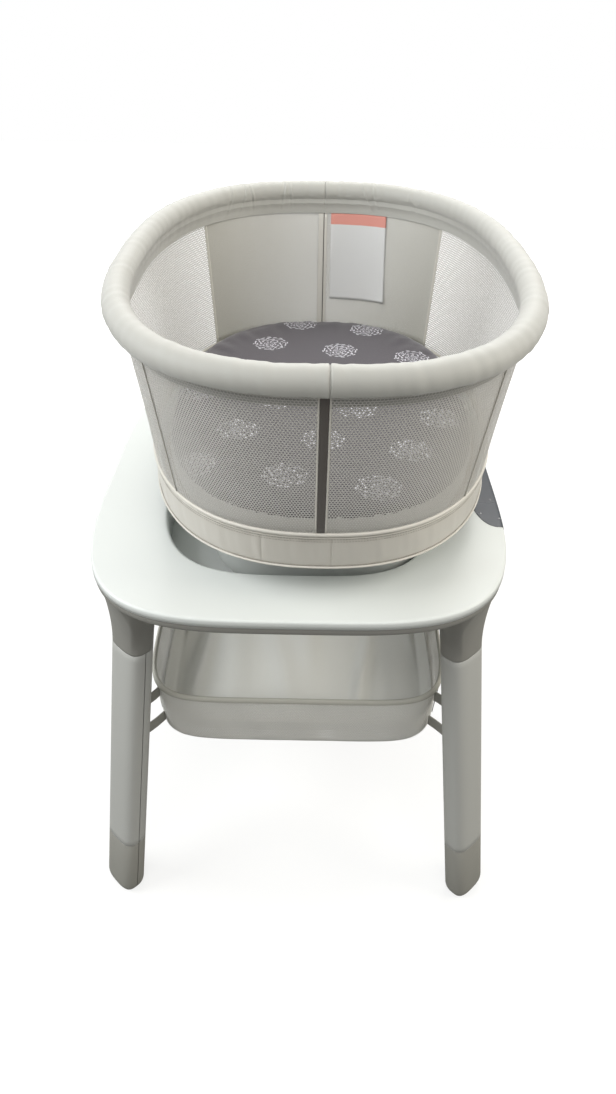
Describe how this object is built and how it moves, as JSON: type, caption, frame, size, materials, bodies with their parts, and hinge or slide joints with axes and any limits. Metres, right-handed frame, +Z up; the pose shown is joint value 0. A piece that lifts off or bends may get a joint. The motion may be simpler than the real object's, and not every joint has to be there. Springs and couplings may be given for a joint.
{
  "type": "bassinet on stand",
  "caption": "Oval mesh-sided baby bassinet on a four-legged stand, with a pedestal that sways and lifts under the tub and a fabric storage basket below.",
  "frame": {"origin": "on the floor, midway between the four feet, under the centre of the stand's deck", "axes": "+Z up, +Y along the tub towards its head end, +X across the tub towards the side of the control panel"},
  "size_m": [0.5894, 0.7972, 0.8886],
  "materials": {
    "shell_white": "pale greenish white, satin",
    "shell_grey": "light warm grey, matte",
    "panel_black": "slate black, glossy",
    "fabric_white": "off-white woven fabric",
    "mesh_fabric": "warm light grey breathable mesh",
    "sheet_fabric": "dark purple grey jersey with pale medallions",
    "foam": "quilted mattress cover",
    "strut_grey": "dark brown grey powder coat",
    "steel": "bright drawn steel",
    "bearing": "sintered bronze",
    "motor_black": "black motor casing",
    "belt_rubber": "black rubber",
    "board_green": "green circuit board",
    "inner_plastic": "grey structural plastic",
    "board_wood": "plain fibreboard",
    "tag_satin": "white satin label tape, blank",
    "speaker_black": "black paper cone and steel basket"
  },
  "bodies": {
    "stand": {"deck_top": "shell_white", "deck_shell": "shell_grey", "well_floor": "shell_white", "touch_panel": "panel_black", "indicator_windows": "panel_black", "panel_board": "board_green", "drive_tray": "inner_plastic", "case_screws": "steel", "power_inlet": "panel_black", "speaker": "speaker_black", "main_board": "board_green", "sway_rails": "steel", "sway_motor": "steel", "sway_belt": "belt_rubber", "leg_front_left": "shell_white", "leg_front_right": "shell_white", "leg_rear_left": "shell_white", "leg_rear_right": "shell_white", "foot_caps": "shell_grey", "basket_floor": "fabric_white", "basket_mesh": "mesh_fabric", "basket_hem": "fabric_white", "basket_straps": "fabric_white"},
    "carriage": {"carriage_plate": "inner_plastic", "rail_bushes": "bearing", "belt_clamp": "inner_plastic", "guide_posts": "steel", "lift_motor": "motor_black"},
    "drive_pulley": {"drive_pulley": "steel"},
    "idler_pulley": {"idler_pulley": "steel"},
    "lift_screw": {"lift_screw": "steel"},
    "tub": {"pedestal_cap": "shell_white", "post_bushes": "bearing", "lift_nut": "bearing", "tub_screws": "steel", "tub_pan": "shell_white", "mattress_board": "board_wood", "base_band": "fabric_white", "band_piping": "fabric_white", "mesh_side_left": "mesh_fabric", "mesh_side_right": "mesh_fabric", "mesh_front_left": "mesh_fabric", "mesh_front_right": "mesh_fabric", "mesh_rear_left": "mesh_fabric", "mesh_rear_right": "mesh_fabric", "end_struts": "strut_grey", "strut_tapes": "mesh_fabric", "rim_tube_front": "steel", "rim_tube_rear": "steel", "rim_joiners": "steel", "rim_sleeve": "fabric_white", "care_tag": "tag_satin"},
    "mattress": {"mattress": "foam", "fitted_sheet": "sheet_fabric"},
    "button_front_left": {"button_front_left": "shell_grey"},
    "button_front_right": {"button_front_right": "shell_grey"},
    "button_rear_left": {"button_rear_left": "shell_grey"},
    "button_rear_right": {"button_rear_right": "shell_grey"}
  },
  "joints": [
    {"name": "sway", "type": "slide", "parent": "stand", "child": "carriage", "axis": [1, 0, 0], "range_m": [-0.058, 0.004]},
    {"name": "drive_spin", "type": "hinge", "parent": "stand", "child": "drive_pulley", "pos_m": [-0.115, -0.162, 0.474], "axis": [0, 1, 0], "range_deg": [-390, 35]},
    {"name": "idler_spin", "type": "hinge", "parent": "stand", "child": "idler_pulley", "pos_m": [0.115, -0.162, 0.474], "axis": [0, 1, 0], "range_deg": [-390, 35]},
    {"name": "lift", "type": "slide", "parent": "carriage", "child": "tub", "axis": [0, 0, 1], "range_m": [-0.019, 0.019]},
    {"name": "screw_spin", "type": "hinge", "parent": "carriage", "child": "lift_screw", "pos_m": [0.027, 0, 0.55], "axis": [0, 0, 1], "range_deg": [-900, 900]},
    {"name": "mattress_out", "type": "slide", "parent": "tub", "child": "mattress", "axis": [0, 0, 1], "range_m": [0, 0.15]},
    {"name": "press_front_left", "type": "slide", "parent": "stand", "child": "button_front_left", "axis": [-0.7071, -0.7071, 0], "range_m": [0, 0.005], "stiffness_N_per_m": 600, "springref_m": -0.002},
    {"name": "press_front_right", "type": "slide", "parent": "stand", "child": "button_front_right", "axis": [0.7071, -0.7071, 0], "range_m": [0, 0.005], "stiffness_N_per_m": 600, "springref_m": -0.002},
    {"name": "press_rear_left", "type": "slide", "parent": "stand", "child": "button_rear_left", "axis": [-0.7071, 0.7071, 0], "range_m": [0, 0.005], "stiffness_N_per_m": 600, "springref_m": -0.002},
    {"name": "press_rear_right", "type": "slide", "parent": "stand", "child": "button_rear_right", "axis": [0.7071, 0.7071, 0], "range_m": [0, 0.005], "stiffness_N_per_m": 600, "springref_m": -0.002}
  ],
  "couplings": [
    {"joint": "drive_spin", "follows": "sway", "rad_per_m": 114.29},
    {"joint": "idler_spin", "follows": "sway", "rad_per_m": 114.29},
    {"joint": "screw_spin", "follows": "lift", "rad_per_m": 785.4}
  ]
}
